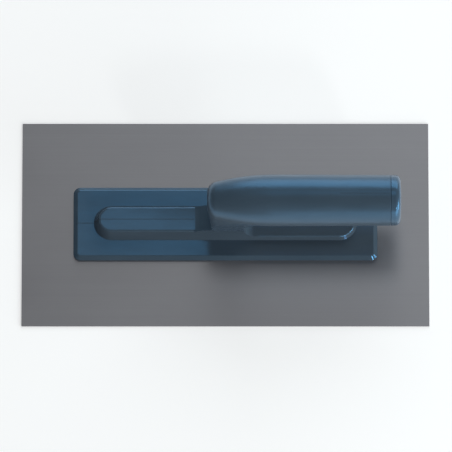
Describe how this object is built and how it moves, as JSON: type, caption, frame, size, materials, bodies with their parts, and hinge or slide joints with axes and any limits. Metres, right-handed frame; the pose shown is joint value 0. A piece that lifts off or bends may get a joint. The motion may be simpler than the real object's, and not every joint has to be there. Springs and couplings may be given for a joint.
{
  "type": "finishing trowel",
  "caption": "Rectangular steel finishing trowel: thin flat blade under a moulded plastic handle with a long base rail and an open-ended round grip.",
  "frame": {"origin": "centre of the blade's flat working face", "axes": "+X along the blade towards the open end of the grip, +Y across the blade, +Z from the working face up through the grip"},
  "size_m": [0.27, 0.14, 0.0748],
  "materials": {
    "blade_steel": "fine lengthwise brushed, satin",
    "stud_steel": "as drawn",
    "bond_film": "matte",
    "handle_plastic": "semi-gloss moulded",
    "cap_plastic": "semi-gloss moulded"
  },
  "bodies": {
    "root": {"blade": "blade_steel", "weld_studs": "stud_steel", "bond_film": "bond_film", "handle_body": "handle_plastic", "end_cap": "cap_plastic"}
  },
  "joints": []
}
